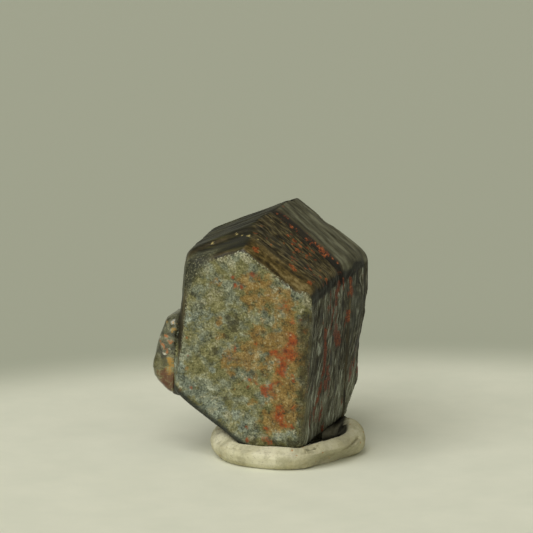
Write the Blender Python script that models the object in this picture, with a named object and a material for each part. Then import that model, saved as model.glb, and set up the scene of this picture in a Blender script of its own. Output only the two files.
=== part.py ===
"""Rough sapphire crystal pressed into a ring of putty.

The crystal is a stubby six-sided prism that lies on one edge, its flat end face turned to the front.
Its faces are bevelled at both ends, step in and out along growth ledges, and carry a small side crystal
on the left. The putty under it is a hand-rolled ring, flat below, whose two ends overlap at the right.

Everything is shaped in millimetres, and the last step turns the finished meshes into metres.
"""
import math

import bmesh
import bpy
from mathutils import Matrix, Vector

METRES_PER_MM = 0.001

# Pose of the crystal: its long axis points back, to the right and slightly up.
AXIS_AZIMUTH = math.radians(20.8)
AXIS_RISE = math.radians(2.5)
FRONT_CENTRE = (-4.1, -4.1, 10.0)
CRYSTAL_LENGTH = 13.0

# The faces round the prism, counterclockwise as seen from the front: the direction that each faces,
# measured from the crystal's right, its distance from the axis behind the front bevel, how fast it leans
# outward with depth, how far the back bevel cuts it in, and the radius of the edge that it shares with the
# next face. Then how far the front bevel cuts it in and how deep that reaches, each given twice: at the
# edge that it shares with the face before it, and at the one that it shares with the face after it.
FACES = {
    "right": dict(
        angle=-4.3, rim=6.0, lean=0.062, back=0.5, edge=1.0,
        bevel=(0.45, 0.45), reach=(0.6, 0.6),
    ),
    "upper_right": dict(
        angle=55.7, rim=8.42, lean=0.035, back=0.55, edge=0.3,
        bevel=(0.77, 0.77), reach=(2.4, 2.4),
    ),
    "upper_left": dict(
        angle=113.7, rim=9.08, lean=0.0, back=0.5, edge=1.2,
        bevel=(1.03, 1.1), reach=(3.3, 1.0),
    ),
    "left": dict(
        angle=174.6, rim=5.95, lean=0.17, back=0.5, edge=0.5,
        bevel=(1.2, 0.35), reach=(1.2, 0.8),
    ),
    "lower_left": dict(
        angle=235.7, rim=6.95, lean=-0.01, back=0.6, edge=0.4,
        bevel=(0.35, 0.35), reach=(0.6, 0.6),
    ),
    "foot": dict(
        angle=274.8, rim=9.1, lean=-0.01, back=0.7, edge=0.5,
        bevel=(1.2, 1.2), reach=(0.7, 0.7),
    ),
    "lower_right": dict(
        angle=295.7, rim=9.95, lean=0.0, back=0.9, edge=0.9,
        bevel=(1.3, 1.3), reach=(0.7, 0.7),
    ),
}
FACE_NAMES = list(FACES)
EDGE_STEPS = 4
BEVEL_BULGE = 1.6
BACK_REACH = 0.8

# Growth ledges: the face, the depth at which it steps, and how far it steps out (or in, if negative).
LEDGES = [
    ("upper_left", 2.05, 0.5),
    ("left", 5.2, -0.2),
    ("upper_right", 5.7, 0.14),
    ("upper_right", 6.95, -0.25),
    ("upper_right", 7.5, 0.5),
    ("right", 9.0, 0.2),
    ("lower_left", 9.4, -0.2),
    ("upper_left", 10.2, -0.2),
    ("lower_right", 10.6, -0.35),
]
LEDGE_RUN = 0.16

# Ledges and grooves run round the crystal a little aslant: how much deeper they cross the edge behind each
# of these faces. The first ledge has its own slant, and the others take theirs on between two depths.
FIRST_SLANT = dict(upper_right=1.45, upper_left=-0.55)
SLANT = dict(right=-0.3, upper_right=0.7, upper_left=0.15)
SLANT_FROM = 2.4
SLANT_TO = 5.2
RING_SPACING = 0.06
FRONT_DEPTHS = (0.0, 0.25, 0.6, 1.2)
BACK_INWARD = (BACK_REACH, 0.35, 0.0)

# Striation grooves that run round the prism. Their steps of depth are uneven by a slow wave, given by its
# share of a step and its turn from one groove to the next.
GROOVE_START = 3.8
GROOVE_STEP = 0.46
GROOVE_COUNT = 18
GROOVE_UNEVENNESS = 0.25
GROOVE_WAVE_TURN = 2.4
GROOVE_DEPTHS = dict(
    right=0.07, upper_right=0.09, upper_left=0.05, left=0.06, lower_left=0.06, foot=0.0, lower_right=0.06,
)

# The broken back end: notches cut through it from the side, and one flat break across the lower right
# corner. A notch is given by how far across the crystal it reaches, by its outline in height and depth at
# one place across, and by how much deeper it runs for each mm to the right of that place.
BEYOND = 20.0
BACK_NOTCHES = [
    dict(
        across=(1.5, BEYOND), at=7.0, slope=-0.42,
        outline=[(3.6, 12.3), (-0.4, 11.3), (-BEYOND, 11.45), (-BEYOND, BEYOND), (3.6, BEYOND)],
    ),
    dict(
        across=(-BEYOND, 1.5), at=-6.0, slope=0.22,
        outline=[(1.8, 12.4), (-BEYOND, 11.8), (-BEYOND, BEYOND), (1.8, BEYOND)],
    ),
]
BREAK_POINT = (6.19, -7.94, 9.2)
BREAK_FACING = (0.608, -0.553, 0.57)

# The small side crystal on the left face, as faces like those above, about its own centre.
SIDE_CENTRE = (-6.9, -1.5)
SIDE_FRONT = 0.85
SIDE_BACK = 4.6
SIDE_ROUND = 0.85
SIDE_ROUND_STEPS = 4
SIDE_FACES = [
    dict(angle=0.0, rim=2.2, edge=0.3),
    dict(angle=98.7, rim=3.47, edge=0.75),
    dict(angle=158.5, rim=1.45, edge=1.8),
    dict(angle=228.0, rim=2.6, edge=1.0),
    dict(angle=261.7, rim=3.25, edge=0.4),
]

# The putty ring: a roll bent round a centre on the ground and pressed flat below.
RING_RADIUS = 5.52
ROLL_RADIUS = 1.2
ROLL_HEIGHT = 1.02
RING_SEGMENTS = 56
ROLL_SIDES = 14

# How a roll made by hand is uneven along the ring, as waves: how many, where they start, how strong. Those
# of the bend and the height are in millimetres, and those of the thickness are shares of the roll's radius.
BEND_WAVES = ((2, 0.6, 0.11), (5, 2.0, 0.05))
HEIGHT_WAVES = ((4, 0.4, 0.03),)
THICKNESS_WAVES = ((3, 1.1, 0.035), (7, 0.0, 0.03))

# The ring is thicker where its two ends are kneaded together: how much it swells upward and inward there,
# and how far round the ring that reaches.
KNEADED_ANGLE = math.radians(25.0)
KNEADED_SPREAD = math.radians(40.0)
KNEADED_SWELL = 0.16

# The roll's two ends lie along the ring at the right, one outside and one inside, each given by its angles
# in degrees, its offset from the ring's own centre line, its radius and its height. An end starts at shares
# of these three sizes, and swells to its full thickness over a share of its length.
ROLL_ENDS = {
    "outer_end": dict(tip=-56.0, root=56.0, offset=0.36, radius=0.9, height=0.95),
    "inner_end": dict(tip=62.0, root=-92.0, offset=-1.35, radius=1.12, height=1.1),
}
END_SEGMENTS = 18
TIP_RADIUS_SHARE = 0.22
TIP_HEIGHT_SHARE = 0.45
TIP_OFFSET_SHARE = 0.35
TIP_ARCH = 0.12
SWELL_LENGTH = 0.35
IMPRINT_GAP = 0.3

# Edges sharper than these angles stay sharp.
CRYSTAL_CREASE = math.radians(25.0)
PUTTY_CREASE = math.radians(60.0)
SAPPHIRE_COLOUR = (0.13, 0.12, 0.075)
SAPPHIRE_ROUGHNESS = 0.4
PUTTY_COLOUR = (0.62, 0.56, 0.43)
PUTTY_ROUGHNESS = 0.8


def clear_scene():
    for thing in list(bpy.data.objects):
        bpy.data.objects.remove(thing, do_unlink=True)


def make_material(name, colour, roughness):
    material = bpy.data.materials.new(name)
    material.use_nodes = True
    shader = material.node_tree.nodes["Principled BSDF"]
    shader.inputs["Base Color"].default_value = (*colour, 1.0)
    shader.inputs["Roughness"].default_value = roughness
    shader.inputs["Metallic"].default_value = 0.0
    return material


def crystal_matrix():
    """The crystal's own frame: x to its right, y up, z backward along its long axis."""
    across = Vector((math.cos(AXIS_AZIMUTH), -math.sin(AXIS_AZIMUTH), 0.0))
    along = Vector((
        math.sin(AXIS_AZIMUTH) * math.cos(AXIS_RISE),
        math.cos(AXIS_AZIMUTH) * math.cos(AXIS_RISE),
        math.sin(AXIS_RISE),
    ))
    up = across.cross(along)
    rotation = Matrix((across, up, along)).transposed().to_4x4()
    return Matrix.Translation(FRONT_CENTRE) @ rotation


def fillet(first, second, radius):
    """Points of the rounded edge between two face lines, each given as (angle in degrees, distance)."""
    angle_a, angle_b = math.radians(first[0]), math.radians(second[0])
    turn = (angle_b - angle_a) % math.tau
    inner_a, inner_b = first[1] - radius, second[1] - radius
    along = (inner_b - inner_a * math.cos(turn)) / math.sin(turn)
    centre_x = inner_a * math.cos(angle_a) - along * math.sin(angle_a)
    centre_y = inner_a * math.sin(angle_a) + along * math.cos(angle_a)
    points = []
    for step in range(EDGE_STEPS):
        angle = angle_a + turn * step / (EDGE_STEPS - 1)
        points.append((centre_x + radius * math.cos(angle), centre_y + radius * math.sin(angle)))
    return points


def smooth_step(value):
    value = min(max(value, 0.0), 1.0)
    return value * value * (3.0 - 2.0 * value)


def face_distance(name, end, depth, steps_out, groove):
    """The distance of a face from the axis, at one of its two edges, less what bevels and grooves take."""
    face = FACES[name]
    front = max(0.0, 1.0 - depth / face["reach"][end])
    back = max(0.0, (depth - CRYSTAL_LENGTH + BACK_REACH) / BACK_REACH)
    bevel = face["bevel"][end] * front ** BEVEL_BULGE + face["back"] * back ** BEVEL_BULGE
    return face["rim"] + face["lean"] * depth + steps_out[name] - bevel - groove * GROOVE_DEPTHS[name]


def prism_corner(name, after, depth, steps_out, groove, grow):
    """The rounded edge between a face and the next, at one depth."""
    first = (FACES[name]["angle"], face_distance(name, 1, depth, steps_out, groove) + grow)
    second = (FACES[after]["angle"], face_distance(after, 0, depth, steps_out, groove) + grow)
    return fillet(first, second, FACES[name]["edge"])


def prism_plan():
    """The rings along the crystal, front to back: rims, both edges of each ledge, and groove lines."""
    plan = [dict(depth=depth) for depth in FRONT_DEPTHS]
    for name, depth, rise in LEDGES:
        plan.append(dict(depth=depth))
        plan.append(dict(depth=depth + LEDGE_RUN, ledge=name, rise=rise))
    for number in range(GROOVE_COUNT):
        uneven = number + GROOVE_UNEVENNESS * math.sin(GROOVE_WAVE_TURN * number)
        plan.append(dict(depth=GROOVE_START + GROOVE_STEP * uneven, groove=float(number % 2)))
    plan += [dict(depth=CRYSTAL_LENGTH - inward) for inward in BACK_INWARD]
    return sorted(plan, key=lambda ring: ring["depth"])


def edge_slant(name, depth):
    """How much deeper than its own depth a ring crosses the edge behind a face."""
    if depth <= FRONT_DEPTHS[-1]:
        return 0.0
    if depth < SLANT_FROM:
        return FIRST_SLANT.get(name, 0.0)
    return SLANT.get(name, 0.0) * smooth_step((depth - SLANT_FROM) / (SLANT_TO - SLANT_FROM))


def prism_rings(grow):
    """Rings of points along the crystal, each across it at one depth but for its slant."""
    steps_out = dict.fromkeys(FACES, 0.0)
    reached = dict.fromkeys(FACES, -1.0)
    rings = []
    for plan in prism_plan():
        if "ledge" in plan:
            steps_out[plan["ledge"]] += plan["rise"]
        ring = []
        for name, after in zip(FACE_NAMES, FACE_NAMES[1:] + FACE_NAMES[:1]):
            depth = plan["depth"]
            if depth < CRYSTAL_LENGTH - BACK_REACH:
                depth += edge_slant(name, depth)
            depth = max(depth, reached[name] + RING_SPACING)
            reached[name] = depth
            corner = prism_corner(name, after, depth, steps_out, plan.get("groove", 0.0), grow)
            ring += [(x, y, depth) for x, y in corner]
        rings.append(ring)
    rings[0] = [(x, y, z - grow) for x, y, z in rings[0]]
    rings[-1] = [(x, y, z + grow) for x, y, z in rings[-1]]
    return rings


def side_rings(grow):
    """Rings of the side crystal, rounded off at its front and back by quarter circles."""
    turns = [math.pi / 2 * step / SIDE_ROUND_STEPS for step in range(SIDE_ROUND_STEPS + 1)]
    quarter = [(SIDE_ROUND * (1.0 - math.sin(turn)), SIDE_ROUND * (1.0 - math.cos(turn))) for turn in turns]
    stations = [(inset, SIDE_FRONT + inward) for inset, inward in quarter]
    stations += [(inset, SIDE_BACK - inward) for inset, inward in reversed(quarter)]
    rings = []
    for inset, depth in stations:
        ring = []
        for face, after in zip(SIDE_FACES, SIDE_FACES[1:] + SIDE_FACES[:1]):
            first = (face["angle"], face["rim"] - inset + grow)
            second = (after["angle"], after["rim"] - inset + grow)
            for x, y in fillet(first, second, face["edge"]):
                ring.append((x + SIDE_CENTRE[0], y + SIDE_CENTRE[1], depth))
        rings.append(ring)
    return rings


def finish_mesh(mesh, name):
    bmesh.ops.recalc_face_normals(mesh, faces=mesh.faces)
    data = bpy.data.meshes.new(name)
    mesh.to_mesh(data)
    mesh.free()
    thing = bpy.data.objects.new(name, data)
    bpy.context.collection.objects.link(thing)
    return thing


def loft(rings, name, matrix=Matrix()):
    """A closed solid through rings with equal numbers of points, capped at both ends."""
    mesh = bmesh.new()
    rows = [[mesh.verts.new(matrix @ Vector(point)) for point in ring] for ring in rings]
    count = len(rows[0])
    for row, following in zip(rows, rows[1:]):
        for index in range(count):
            after = (index + 1) % count
            mesh.faces.new((row[index], row[after], following[after], following[index]))
    mesh.faces.new(list(reversed(rows[0])))
    mesh.faces.new(rows[-1])
    return finish_mesh(mesh, name)


def close_ring(rings, name):
    """A closed solid through rings that run round and meet."""
    mesh = bmesh.new()
    rows = [[mesh.verts.new(point) for point in ring] for ring in rings]
    for row, following in zip(rows, rows[1:] + rows[:1]):
        for index in range(ROLL_SIDES):
            after = (index + 1) % ROLL_SIDES
            mesh.faces.new((row[index], row[after], following[after], following[index]))
    return finish_mesh(mesh, name)


def combine(target, tool, operation):
    """Apply a Boolean of the target with the tool, and remove the tool."""
    modifier = target.modifiers.new(operation, "BOOLEAN")
    modifier.operation = operation
    modifier.object = tool
    bpy.context.view_layer.update()
    evaluated = target.evaluated_get(bpy.context.evaluated_depsgraph_get())
    data = bpy.data.meshes.new_from_object(evaluated)
    target.modifiers.remove(modifier)
    target.data = data
    bpy.data.objects.remove(tool, do_unlink=True)


def cut_flat(thing, point, facing):
    """Cut away what lies beyond a plane, on the side it faces, and close the cut."""
    mesh = bmesh.new()
    mesh.from_mesh(thing.data)
    everything = mesh.verts[:] + mesh.edges[:] + mesh.faces[:]
    cut = bmesh.ops.bisect_plane(mesh, geom=everything, plane_co=point, plane_no=facing, clear_outer=True)
    rim = [item for item in cut["geom_cut"] if isinstance(item, bmesh.types.BMEdge)]
    bmesh.ops.triangle_fill(mesh, edges=rim, use_beauty=True)
    bmesh.ops.recalc_face_normals(mesh, faces=mesh.faces)
    mesh.to_mesh(thing.data)
    mesh.free()


def make_notch(name, across, at, slope, outline, grow, matrix):
    """A block for cutting: an outline in height and depth, run across the crystal at a slope."""
    rings = [[(x, height, depth + slope * (x - at) + grow) for height, depth in outline] for x in across]
    return loft(rings, name, matrix)


def build_crystal(name, grow=0.0):
    """The crystal with its broken back and its side crystal, or the same shape grown outward all round."""
    matrix = crystal_matrix()
    crystal = loft(prism_rings(grow), name, matrix)
    facing = Vector(BREAK_FACING).normalized()
    cut_flat(crystal, matrix @ (Vector(BREAK_POINT) + facing * grow), matrix.to_3x3() @ facing)
    for index, notch in enumerate(BACK_NOTCHES):
        block = make_notch(f"notch_{index}", grow=grow, matrix=matrix, **notch)
        combine(crystal, block, "DIFFERENCE")
    combine(crystal, loft(side_rings(grow), "side_crystal", matrix), "UNION")
    return crystal


def wave_sum(waves, angle):
    return sum(strength * math.sin(count * angle + start) for count, start, strength in waves)


def roll_section(angle, bend, radius, height):
    """One cross-section of the roll, at an angle round the ring."""
    ring = []
    for side in range(ROLL_SIDES):
        turn = math.tau * side / ROLL_SIDES
        reach = bend + radius * math.cos(turn)
        ring.append((reach * math.cos(angle), reach * math.sin(angle), height + radius * math.sin(turn)))
    return ring


def ring_rings():
    """Cross-sections of the whole ring, with the uneven thickness of a roll made by hand."""
    rings = []
    for segment in range(RING_SEGMENTS):
        angle = math.tau * segment / RING_SEGMENTS
        away = math.remainder(angle - KNEADED_ANGLE, math.tau) / KNEADED_SPREAD
        swell = KNEADED_SWELL * math.exp(-away * away)
        bend = RING_RADIUS + wave_sum(BEND_WAVES, angle) - swell
        radius = ROLL_RADIUS * (1.0 + wave_sum(THICKNESS_WAVES, angle)) + swell
        height = ROLL_HEIGHT + wave_sum(HEIGHT_WAVES, angle) + swell
        rings.append(roll_section(angle, bend, radius, height))
    return rings


def end_rings(tip, root, offset, radius, height):
    """Cross-sections of an end of the roll, thin at its tip and sinking into the ring at its root."""
    rings = []
    for segment in range(END_SEGMENTS + 1):
        share = segment / END_SEGMENTS
        angle = math.radians(tip + (root - tip) * share)
        swell = math.sqrt(smooth_step(share / SWELL_LENGTH))
        apart = math.sin(math.pi * (TIP_ARCH + share * (1.0 - TIP_ARCH)))
        bend = RING_RADIUS + offset * (TIP_OFFSET_SHARE + (1.0 - TIP_OFFSET_SHARE) * apart)
        rings.append(roll_section(
            angle,
            bend,
            radius * (TIP_RADIUS_SHARE + (1.0 - TIP_RADIUS_SHARE) * swell),
            height * (TIP_HEIGHT_SHARE + (1.0 - TIP_HEIGHT_SHARE) * swell),
        ))
    return rings


def build_putty():
    """The ring with its two loose ends, cut flat on the ground and hollowed by the crystal's imprint."""
    putty = close_ring(ring_rings(), "putty_ring")
    for name, place in ROLL_ENDS.items():
        combine(putty, loft(end_rings(**place), name), "UNION")
    cut_flat(putty, (0.0, 0.0, 0.0), (0.0, 0.0, -1.0))
    combine(putty, build_crystal("imprint", IMPRINT_GAP), "DIFFERENCE")
    return putty


def shade(thing, material, crease):
    thing.data.materials.clear()
    thing.data.materials.append(material)
    thing.data.shade_smooth()
    thing.data.set_sharp_from_angle(angle=crease)


def stand_on_origin(things):
    """Turn millimetres into metres, with the whole object's box standing on the origin, centred over it."""
    corners = [vertex.co for thing in things for vertex in thing.data.vertices]
    low = [min(corner[axis] for corner in corners) for axis in range(3)]
    high = [max(corner[axis] for corner in corners) for axis in range(3)]
    shift = Matrix.Translation((-(low[0] + high[0]) / 2, -(low[1] + high[1]) / 2, -low[2]))
    for thing in things:
        thing.data.transform(Matrix.Scale(METRES_PER_MM, 4) @ shift)


def main():
    clear_scene()
    crystal = build_crystal("sapphire_crystal")
    putty = build_putty()
    shade(crystal, make_material("sapphire", SAPPHIRE_COLOUR, SAPPHIRE_ROUGHNESS), CRYSTAL_CREASE)
    shade(putty, make_material("putty", PUTTY_COLOUR, PUTTY_ROUGHNESS), PUTTY_CREASE)
    stand_on_origin([crystal, putty])


main()
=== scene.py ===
"""The looks of a rough sapphire crystal pressed into a ring of putty.

The crystal's own solid is remade as a fine net and given growth lines, pits and grain, and its stains,
frosting and glassy bevels come from masks kept on the net. The side crystal is a clear piece of its own.
Shapes are worked out in millimetres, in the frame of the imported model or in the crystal's own frame:
p runs to the crystal's right, q runs up, and t runs back along its long axis from the middle of its end face.
"""

import itertools
import math
from types import SimpleNamespace

import bmesh
import bpy
import numpy as np
from mathutils import Matrix, Vector
from mathutils.bvhtree import BVHTree


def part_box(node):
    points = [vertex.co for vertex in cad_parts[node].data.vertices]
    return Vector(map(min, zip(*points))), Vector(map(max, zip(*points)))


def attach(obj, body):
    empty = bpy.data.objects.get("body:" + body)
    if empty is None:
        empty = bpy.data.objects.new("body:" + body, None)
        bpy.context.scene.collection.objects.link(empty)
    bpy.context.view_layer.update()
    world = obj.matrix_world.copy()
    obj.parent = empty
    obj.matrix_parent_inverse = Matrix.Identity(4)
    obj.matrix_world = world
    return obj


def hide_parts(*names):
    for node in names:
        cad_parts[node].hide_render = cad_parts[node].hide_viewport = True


MM = 0.001

# The crystal's own frame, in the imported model's millimetres.
AXIS_AZIMUTH = math.radians(20.8)
AXIS_RISE = math.radians(2.5)
FRONT_CENTRE = np.array((-1.793, -6.017, 10.0))

# Directions that the faces round the prism look in, in degrees from the crystal's right.
RIGHT, UPPER_RIGHT, UPPER_LEFT, LEFT = -4.3, 55.7, 113.7, 174.6

# How much deeper than its own depth a growth line crosses the prism, by the angle of the place.
SLANT_ANGLES = (-60.0, 40.0, 85.0, 128.0, 215.0)
SLANT_DEPTHS = (0.0, -0.3, 0.7, 0.15, 0.0)

# Low on the right face the growth lines lean: by this much depth for each mm below a height.
RIGHT_LEAN = 0.2
RIGHT_LEAN_FROM = 2.0

# How fine each piece's net is.
CRYSTAL_NET = 0.124
SIDE_NET = 0.07
PUTTY_NET = 0.09

# In how many rounds the crystal's ledges and the edges of its masks are rounded off, and how far each round
# takes a vertex towards the middle of its neighbours.
LEDGE_ROUNDS = 60
MASK_ROUNDS = 14
ROUND_SHARE = 0.6

# The plane that parts the side crystal from the left face: its distance from the axis, its lean, and how far
# the side crystal reaches through it into the left face.
SPLIT_DISTANCE = 6.1
SPLIT_LEAN = 0.17
SIDE_SINK = 0.12

# How much the upper part of the side crystal stands out over its CAD shape.
SIDE_RISE = 0.2

# Between which cosines a normal counts more and more as looking in a given direction.
FACING = (0.72, 0.93)

# Where the end face gives way to the sides, in depth, and where the far end begins, by its normal.
END_FADE = (0.6, 1.2)
BACK_FADE = (0.5, 0.8)

# Bands across the two upper faces, in depth behind the end face.
GLASSY_RIGHT_FADE = (1.5, 2.5)
GLASSY_LEFT_FADE = (2.2, 3.4)
DASHED_BAND = (2.1, 6.7)
GROOVE_BAND = (6.95, 7.72)
STRIP_START = (7.75, 7.95)

# Marks on the end face, as (p, q, radius, strength).
END_RUST = [
    (-0.5, 6.6, 0.3, 0.9), (-0.3, 5.7, 0.25, 1.0), (0.45, 5.7, 0.26, 1.0), (1.7, 6.6, 0.3, 0.7),
    (1.1, 6.7, 0.25, 0.5), (-1.6, 6.6, 0.2, 0.5), (4.1, 4.3, 0.7, 0.4), (2.75, 5.2, 0.2, 0.6),
    (4.85, 3.2, 0.3, 0.8), (5.55, 3.3, 0.15, 0.9), (4.6, 1.8, 0.45, 0.9), (4.8, 1.3, 0.5, 1.0),
    (5.9, 2.3, 0.3, 0.7), (3.3, 0.1, 0.35, 0.9), (4.6, 0.2, 0.65, 1.0), (3.9, -0.2, 0.4, 0.8),
    (-0.4, 0.2, 0.3, 0.7), (-0.9, -0.5, 0.3, 0.5), (-0.3, -0.8, 0.3, 0.7), (1.5, 0.9, 0.3, 0.4),
    (-5.5, -0.3, 0.18, 0.9), (-4.7, -0.8, 0.2, 0.8), (3.8, -0.9, 0.35, 0.9), (3.7, -1.5, 0.35, 0.9),
    (4.8, -1.6, 0.25, 0.9), (4.85, -2.3, 0.25, 0.9), (2.3, -3.1, 0.4, 1.0), (2.2, -3.6, 0.3, 0.8),
    (3.0, -3.0, 0.25, 0.9), (3.5, -2.6, 0.35, 0.7), (0.9, -2.3, 0.25, 0.8), (0.7, -3.1, 0.15, 0.7),
    (1.7, -2.5, 0.15, 0.7), (3.5, -4.6, 0.45, 0.8), (3.65, -5.5, 0.5, 1.0), (4.0, -6.3, 0.45, 1.0),
    (4.5, -6.4, 0.4, 0.7), (4.9, -4.7, 0.25, 0.6), (2.3, -6.6, 0.35, 0.8), (0.75, -6.8, 0.2, 0.6),
    (1.8, -4.8, 0.2, 0.5), (3.1, -3.7, 0.7, 0.4), (-4.5, -3.8, 0.16, 0.9), (2.5, -7.85, 0.45, 0.9),
    (0.8, -7.8, 0.2, 0.9),
]
END_OCHRE = [
    (2.3, 6.1, 0.9, 0.7), (3.5, 5.4, 0.8, 0.8), (4.5, 4.9, 0.7, 0.8), (2.2, 4.3, 1.0, 0.6),
    (1.3, 5.3, 0.9, 0.6), (4.2, 3.8, 1.0, 0.8), (0.9, 4.5, 0.8, 0.4), (0.4, 6.5, 0.9, 0.5),
    (4.2, 2.1, 1.1, 0.9), (1.7, 1.6, 1.0, 0.6), (-1.7, 2.5, 0.35, 0.7), (-1.8, 1.2, 0.4, 0.6),
    (1.0, 0.3, 0.9, 0.7), (2.7, 1.0, 1.0, 0.7), (-0.5, -0.3, 0.9, 0.6), (4.4, 0.2, 1.4, 0.9),
    (0.7, -0.6, 0.9, 0.7), (2.6, -0.8, 1.1, 0.6), (4.1, -2.6, 1.2, 0.9), (-1.3, -1.4, 0.6, 0.4),
    (1.3, -2.2, 0.9, 0.5), (-0.4, -2.4, 0.6, 0.4), (0.9, -4.6, 0.4, 0.7), (-0.6, -3.5, 0.18, 0.9),
    (1.4, -6.7, 0.25, 0.8), (4.0, -4.3, 1.3, 0.9), (4.0, -5.6, 1.2, 0.9), (2.6, -5.6, 0.9, 0.6),
    (3.0, -6.6, 0.9, 0.7), (-4.8, -1.9, 0.2, 0.7), (-5.4, -4.1, 0.18, 0.9), (-2.0, 6.0, 0.7, 0.3),
]
END_PALE = [
    (-3.2, 6.8, 0.45, 0.8), (-2.7, 7.3, 0.3, 0.7), (-1.6, 7.95, 0.35, 0.6), (-0.8, 8.25, 0.35, 0.8),
    (0.0, 8.6, 0.45, 0.9), (0.8, 8.6, 0.4, 0.9), (0.7, 8.1, 0.4, 0.7), (-0.2, 7.4, 0.5, 0.5),
    (-0.8, 7.6, 0.4, 0.5), (1.7, 8.0, 0.4, 0.5), (-2.1, 4.9, 0.7, 0.5), (-2.9, 4.1, 0.5, 0.4),
    (2.45, 5.3, 0.35, 0.5), (3.2, 5.9, 0.5, 0.4), (3.3, 3.2, 0.5, 0.7), (2.7, 2.7, 0.4, 0.5),
    (6.1, 5.35, 0.5, 1.0), (6.2, 4.65, 0.45, 1.0), (5.6, 3.9, 0.35, 0.6), (1.1, 3.2, 0.2, 0.8),
    (-2.1, 1.4, 0.3, 0.8), (-2.0, 0.9, 0.3, 0.7), (-4.7, -0.3, 0.25, 0.6), (-3.9, 6.6, 0.3, 0.7),
    (-4.1, 7.3, 0.2, 0.9), (-4.4, 6.8, 0.3, 0.5), (-0.9, -0.5, 0.2, 0.7), (-2.4, 0.4, 0.2, 0.7),
    (1.4, -1.3, 0.2, 0.8), (3.0, -1.2, 0.4, 0.6), (0.7, -0.8, 0.6, 0.35), (-2.4, -5.5, 0.4, 0.5),
    (-1.2, -6.0, 0.35, 0.7), (0.2, -5.8, 0.35, 0.7), (1.2, -7.6, 0.35, 0.7), (2.0, -7.45, 0.35, 0.7),
    (4.0, -7.1, 0.4, 0.6), (4.9, -7.0, 0.3, 0.7), (5.1, -1.4, 0.3, 0.5), (-5.4, -1.2, 0.2, 0.7),
    (-2.8, -4.4, 0.8, 0.4),
]
END_DARK = [
    (-0.4, 2.4, 0.6, 0.9), (-0.9, 2.7, 0.4, 0.7), (-0.1, 1.6, 0.45, 0.8), (-1.2, 1.2, 0.35, 0.8),
    (-0.3, 3.4, 0.5, 0.5), (-3.6, 3.7, 0.6, 0.7), (-4.2, 4.7, 0.5, 0.4), (-2.5, -0.2, 0.42, 0.9),
    (-1.5, 4.2, 0.5, 0.4), (1.25, 4.3, 0.4, 0.5), (2.3, 2.1, 0.4, 0.6), (-3.9, -2.7, 0.45, 0.6),
    (-1.4, -4.2, 0.5, 0.6), (-0.2, -4.3, 0.5, 0.5), (1.3, -1.8, 0.5, 0.7), (2.4, -1.8, 0.4, 0.7),
    (1.9, -5.7, 0.3, 0.7), (5.35, -5.5, 0.28, 1.0), (-3.9, -0.5, 0.35, 0.5), (5.6, -3.5, 0.5, 0.4),
    (3.2, -7.95, 0.6, 0.8), (1.4, -8.0, 0.6, 0.8), (4.6, -7.9, 0.5, 0.8), (2.2, -7.2, 0.4, 0.6),
]
END_BLUE = [
    (-4.2, 2.6, 0.8, 0.5), (-5.0, 1.8, 0.6, 0.5), (-3.0, 3.0, 0.7, 0.4), (5.9, 3.4, 0.5, 0.8),
    (-5.5, -1.8, 0.6, 0.9), (-5.6, -2.7, 0.6, 0.9), (-5.1, -3.2, 0.6, 0.8), (-4.4, -3.8, 0.7, 0.7),
    (-3.4, -4.4, 0.8, 0.7), (-2.6, -4.9, 0.8, 0.7), (-1.8, -5.8, 0.8, 0.8), (-0.5, -6.0, 0.6, 0.8),
    (0.5, -6.6, 0.7, 0.65), (1.5, -7.2, 0.6, 0.6), (3.2, -7.3, 0.6, 0.5), (-3.8, 4.9, 0.9, 0.4),
    (-2.6, 6.2, 0.7, 0.35), (4.6, -7.2, 0.6, 0.6), (-2.5, -1.9, 0.3, 0.9), (-0.3, 1.0, 0.2, 0.7),
    (0.95, -5.4, 0.15, 0.9), (-3.6, 1.2, 0.7, 0.4),
]

# Streaks on the end face and the sides, as (start, end, half width), each end as (p, q, t).
END_STREAKS = [((-4.8, 0.8, 0.0), (-4.72, -0.1, 0.0), 0.13)]
RUST_STREAKS = [
    ((6.3, 1.3, 4.3), (6.1, -2.7, 4.3), 0.3), ((6.1, -2.7, 4.3), (5.9, -4.3, 3.6), 0.24),
    ((5.9, -4.1, 3.6), (5.7, -6.6, 2.7), 0.19), ((6.4, 0.6, 6.6), (6.4, -0.6, 7.1), 0.5),
    ((6.7, 4.2, 6.3), (6.6, 3.0, 6.2), 0.26), ((6.6, 2.8, 5.6), (6.4, 1.2, 5.2), 0.26),
    ((7.0, 4.8, 8.6), (7.0, 3.2, 9.0), 0.24), ((6.7, 1.7, 8.8), (6.6, 0.9, 8.8), 0.26),
    ((5.9, -0.8, 0.9), (5.8, -3.2, 0.8), 0.22), ((6.0, -3.6, 5.9), (6.0, -5.2, 5.6), 0.28),
    ((5.6, -7.7, 4.5), (5.7, -8.2, 4.7), 0.24), ((-6.5, 1.8, 2.4), (-6.6, -2.6, 2.6), 0.3),
    ((5.8, -2.4, 5.2), (5.9, -3.4, 5.4), 0.36), ((6.2, 2.0, 8.0), (6.2, 0.4, 8.3), 0.24),
    ((5.9, -3.6, 4.9), (5.8, -4.4, 4.8), 0.3), ((6.0, 1.5, 1.6), (5.9, 0.4, 1.5), 0.12),
]

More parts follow.
